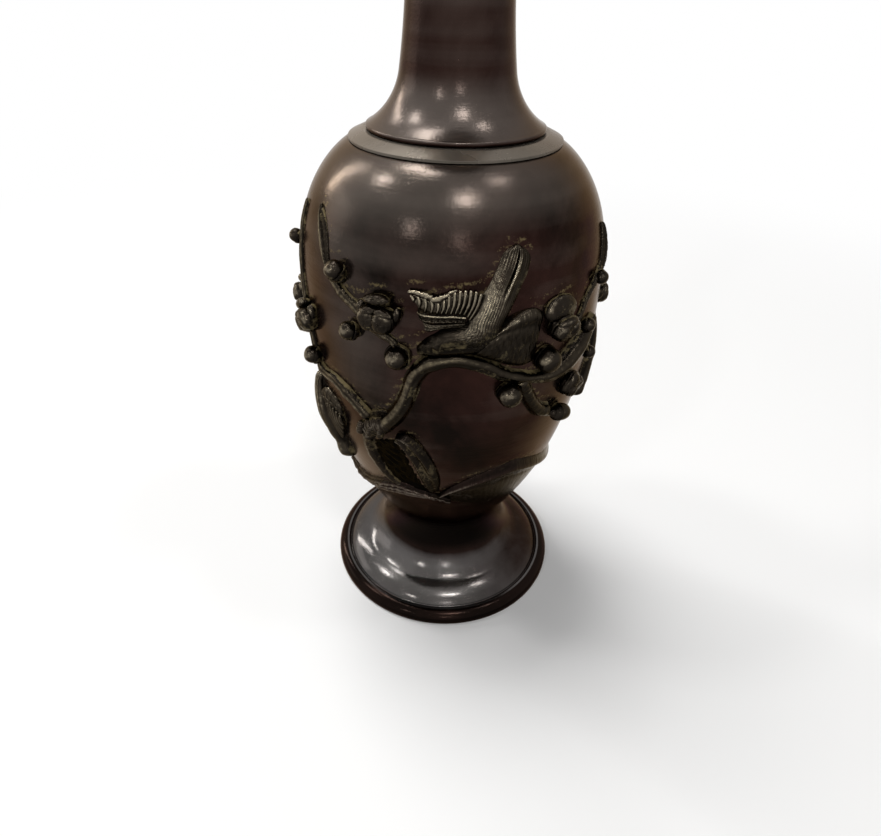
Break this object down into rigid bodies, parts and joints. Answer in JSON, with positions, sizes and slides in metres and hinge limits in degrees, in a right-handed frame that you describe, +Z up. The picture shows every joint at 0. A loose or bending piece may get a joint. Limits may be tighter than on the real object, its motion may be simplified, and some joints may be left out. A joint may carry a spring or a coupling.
{
  "type": "bud vase",
  "caption": "Bronze bud vase with a trumpet neck, an ovoid body with plum branches and birds in relief, and a spreading round foot.",
  "frame": {"origin": "centre of the circle that the foot stands on, on the floor", "axes": "+Z up the axis of the vase, -Y towards the front with the diving bird, +X to the viewer's right"},
  "size_m": [0.12, 0.1189, 0.3],
  "materials": {
    "neck_bronze": "waxed red-brown patina with fine turning lines, half gloss",
    "collar_bronze": "grey-green patina, satin",
    "body_bronze": "dark brown waxed patina with fine turning lines, half gloss",
    "foot_bronze": "dark brown patina, polished by handling, pitted rim",
    "bark_bronze": "grey-green cast patina, worn on the ridges, ochre residue in the hollows",
    "blossom_bronze": "grey-green cast patina, worn on the petals, ochre residue in the hollows",
    "bird_bronze": "grey-brown cast patina, feathers worn bright on their edges",
    "ground_bronze": "dark cast patina, worn along the upper edges",
    "hidden_bronze": "dull unpolished cast surface"
  },
  "bodies": {
    "root": {"branch_main": "bark_bronze", "branch_left_low": "bark_bronze", "branch_left_high": "bark_bronze", "branch_right": "bark_bronze", "twig_front": "bark_bronze", "branch_back_low": "bark_bronze", "branch_back_high": "bark_bronze", "trunk": "ground_bronze", "bird_body": "bird_bronze", "bird_lower_body": "bird_bronze", "bird_wing_left": "bird_bronze", "bird_wing_right": "bird_bronze", "bird_lower_wing": "bird_bronze", "blossom_left": "blossom_bronze", "blossom_left_edge": "blossom_bronze", "blossom_right": "blossom_bronze", "blossom_right_low": "blossom_bronze", "blossom_back_right": "blossom_bronze", "blossom_back": "blossom_bronze", "blossom_back_left": "blossom_bronze", "bud_left_top": "blossom_bronze", "bud_left_mid": "blossom_bronze", "bud_left_small": "blossom_bronze", "bud_left_lower": "blossom_bronze", "bud_left_edge": "blossom_bronze", "bud_front_under": "blossom_bronze", "bud_front_above": "blossom_bronze", "bud_bean": "blossom_bronze", "bud_right_upper": "blossom_bronze", "bud_right_lower": "blossom_bronze", "bud_right_top": "blossom_bronze", "bud_back_low": "blossom_bronze", "bud_back_mid": "blossom_bronze", "bud_back_end": "blossom_bronze", "bud_back_high": "blossom_bronze", "bud_back_under": "blossom_bronze", "hill_left": "ground_bronze", "hill_right": "ground_bronze", "hill_back": "ground_bronze", "body_shell": "body_bronze", "floor_disc": "hidden_bronze", "foot": "foot_bronze", "base_plate": "hidden_bronze", "collar": "collar_bronze", "neck": "neck_bronze"}
  },
  "joints": []
}
